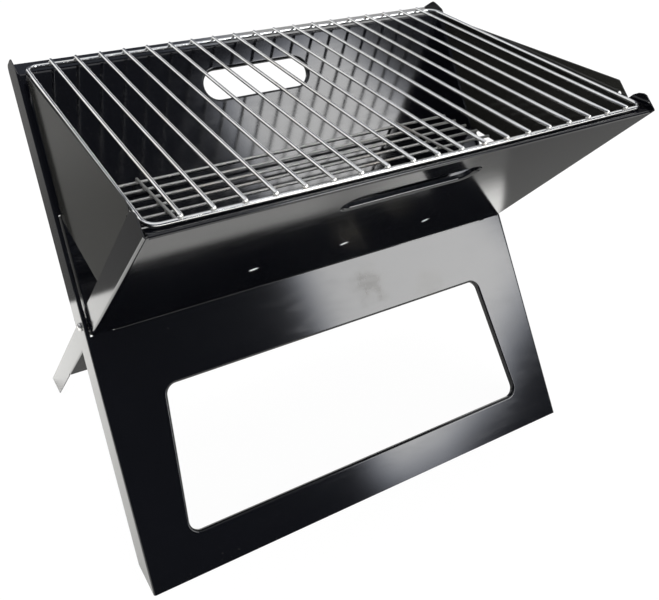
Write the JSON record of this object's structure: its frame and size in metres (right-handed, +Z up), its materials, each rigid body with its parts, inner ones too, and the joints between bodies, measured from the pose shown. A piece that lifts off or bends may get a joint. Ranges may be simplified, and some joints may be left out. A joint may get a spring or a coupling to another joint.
{
  "type": "folding camp grill",
  "caption": "Folding charcoal camp grill: two black sheet panels cross on side rivets into an X stand, with loose end plates, a wire charcoal grate and a wire cooking grid.",
  "frame": {"origin": "on the ground, at the middle of the outline seen from above", "axes": "+X along the width, +Y from the front (the side with the windowed leg) to the back, +Z up"},
  "size_m": [0.455, 0.3812, 0.3882],
  "materials": {
    "enamel": "gloss",
    "bright_wire": "polished",
    "grey_wire": "satin",
    "zinc": "satin"
  },
  "bodies": {
    "long_panel": {"long_panel_front_leg_rear_wall": "enamel", "pivot_rivet_left": "zinc", "pivot_rivet_right": "zinc", "pivot_spacer_left": "zinc", "pivot_spacer_right": "zinc"},
    "short_panel": {"short_panel_front_wall_rear_legs": "enamel"},
    "cooking_grid": {"cooking_grid_frame_wire": "bright_wire", "cooking_grid_bar_01": "bright_wire", "cooking_grid_bar_02": "bright_wire", "cooking_grid_bar_03": "bright_wire", "cooking_grid_bar_04": "bright_wire", "cooking_grid_bar_05": "bright_wire", "cooking_grid_bar_06": "bright_wire", "cooking_grid_bar_07": "bright_wire", "cooking_grid_bar_08": "bright_wire", "cooking_grid_bar_09": "bright_wire", "cooking_grid_bar_10": "bright_wire", "cooking_grid_bar_11": "bright_wire", "cooking_grid_bar_12": "bright_wire", "cooking_grid_bar_13": "bright_wire", "cooking_grid_bar_14": "bright_wire", "cooking_grid_bar_15": "bright_wire", "cooking_grid_bar_16": "bright_wire", "cooking_grid_bar_17": "bright_wire", "cooking_grid_bar_18": "bright_wire", "cooking_grid_bar_19": "bright_wire"},
    "charcoal_grate": {"charcoal_grate_long_wire_01": "grey_wire", "charcoal_grate_long_wire_02": "grey_wire", "charcoal_grate_long_wire_03": "grey_wire", "charcoal_grate_long_wire_04": "grey_wire", "charcoal_grate_long_wire_05": "grey_wire", "charcoal_grate_long_wire_06": "grey_wire", "charcoal_grate_long_wire_07": "grey_wire", "charcoal_grate_long_wire_08": "grey_wire", "charcoal_grate_long_wire_09": "grey_wire", "charcoal_grate_long_wire_10": "grey_wire", "charcoal_grate_cross_wire_left": "grey_wire", "charcoal_grate_cross_wire_right": "grey_wire"},
    "left_end_plate": {"side_plate_left": "enamel"},
    "right_end_plate": {"side_plate_right": "enamel"}
  },
  "joints": [
    {"name": "fold", "type": "hinge", "parent": "long_panel", "child": "short_panel", "pos_m": [0, -0.01003, 0.18917], "axis": [-1, 0, 0], "range_deg": [0, 62]},
    {"name": "cooking_grid_lift", "type": "slide", "parent": "long_panel", "child": "cooking_grid", "axis": [0, 0, 1], "range_m": [0, 0.5431]},
    {"name": "charcoal_grate_lift", "type": "slide", "parent": "long_panel", "child": "charcoal_grate", "axis": [0, 0, 1], "range_m": [0, 0.5431]},
    {"name": "left_plate_lift", "type": "slide", "parent": "long_panel", "child": "left_end_plate", "axis": [0, 0, 1], "range_m": [0, 0.5431]},
    {"name": "right_plate_lift", "type": "slide", "parent": "long_panel", "child": "right_end_plate", "axis": [0, 0, 1], "range_m": [0, 0.5431]}
  ],
  "couplings": [
    {"joint": "cooking_grid_lift", "follows": "fold", "m_per_rad": 0.5},
    {"joint": "charcoal_grate_lift", "follows": "fold", "m_per_rad": 0.5},
    {"joint": "left_plate_lift", "follows": "fold", "m_per_rad": 0.5},
    {"joint": "right_plate_lift", "follows": "fold", "m_per_rad": 0.5}
  ]
}
